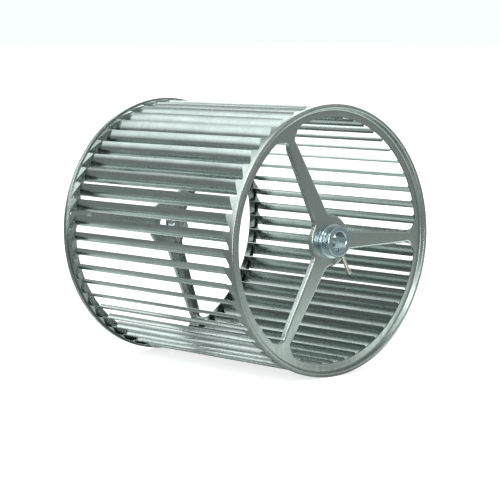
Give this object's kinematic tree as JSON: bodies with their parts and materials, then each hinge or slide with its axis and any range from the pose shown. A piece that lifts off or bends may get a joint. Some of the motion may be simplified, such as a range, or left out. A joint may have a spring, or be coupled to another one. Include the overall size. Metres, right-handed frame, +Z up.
{
  "type": "blower wheel",
  "caption": "Double-inlet squirrel-cage blower wheel: forward-curved blades between two three-arm end discs, with a bored hub and a radial set screw at each end.",
  "frame": {"origin": "centre of the wheel, on its axis, midway between the two end discs", "axes": "+Y along the wheel's axis, from the front inlet to the rear one; +Z up; seen from the front, with +X to the right, the wheel is made to turn clockwise"},
  "size_m": [0.3206, 0.3292, 0.3206],
  "materials": {
    "end_disc": "pressed galvanised sheet steel, satin with a faint spangle",
    "blade_strip": "galvanised strip steel, satin",
    "hub": "turned steel, bright blue-white zinc plating",
    "set_screw": "yellowish zinc plating"
  },
  "bodies": {
    "wheel": {"front_end_disc": "end_disc", "front_hub": "hub", "rear_end_disc": "end_disc", "rear_hub": "hub", "front_strip_band": "blade_strip", "rear_strip_band": "blade_strip", "blade_01": "blade_strip", "blade_02": "blade_strip", "blade_03": "blade_strip", "blade_04": "blade_strip", "blade_05": "blade_strip", "blade_06": "blade_strip", "blade_07": "blade_strip", "blade_08": "blade_strip", "blade_09": "blade_strip", "blade_10": "blade_strip", "blade_11": "blade_strip", "blade_12": "blade_strip", "blade_13": "blade_strip", "blade_14": "blade_strip", "blade_15": "blade_strip", "blade_16": "blade_strip", "blade_17": "blade_strip", "blade_18": "blade_strip", "blade_19": "blade_strip", "blade_20": "blade_strip", "blade_21": "blade_strip", "blade_22": "blade_strip", "blade_23": "blade_strip", "blade_24": "blade_strip", "blade_25": "blade_strip", "blade_26": "blade_strip", "blade_27": "blade_strip", "blade_28": "blade_strip", "blade_29": "blade_strip", "blade_30": "blade_strip", "blade_31": "blade_strip", "blade_32": "blade_strip", "blade_33": "blade_strip", "blade_34": "blade_strip", "blade_35": "blade_strip", "blade_36": "blade_strip", "blade_37": "blade_strip", "blade_38": "blade_strip", "blade_39": "blade_strip", "blade_40": "blade_strip", "blade_41": "blade_strip", "blade_42": "blade_strip", "blade_43": "blade_strip", "blade_44": "blade_strip", "blade_45": "blade_strip", "blade_46": "blade_strip", "blade_47": "blade_strip", "blade_48": "blade_strip", "blade_49": "blade_strip"},
    "front_screw": {"front_set_screw": "set_screw"},
    "rear_screw": {"rear_set_screw": "set_screw"}
  },
  "joints": [
    {"name": "front_screw_slide", "type": "slide", "parent": "wheel", "child": "front_screw", "axis": [0.4741, 0, -0.8805], "range_m": [-0.0015, 0.003]},
    {"name": "rear_screw_slide", "type": "slide", "parent": "wheel", "child": "rear_screw", "axis": [0.9863, 0, -0.165], "range_m": [-0.0015, 0.003]}
  ]
}
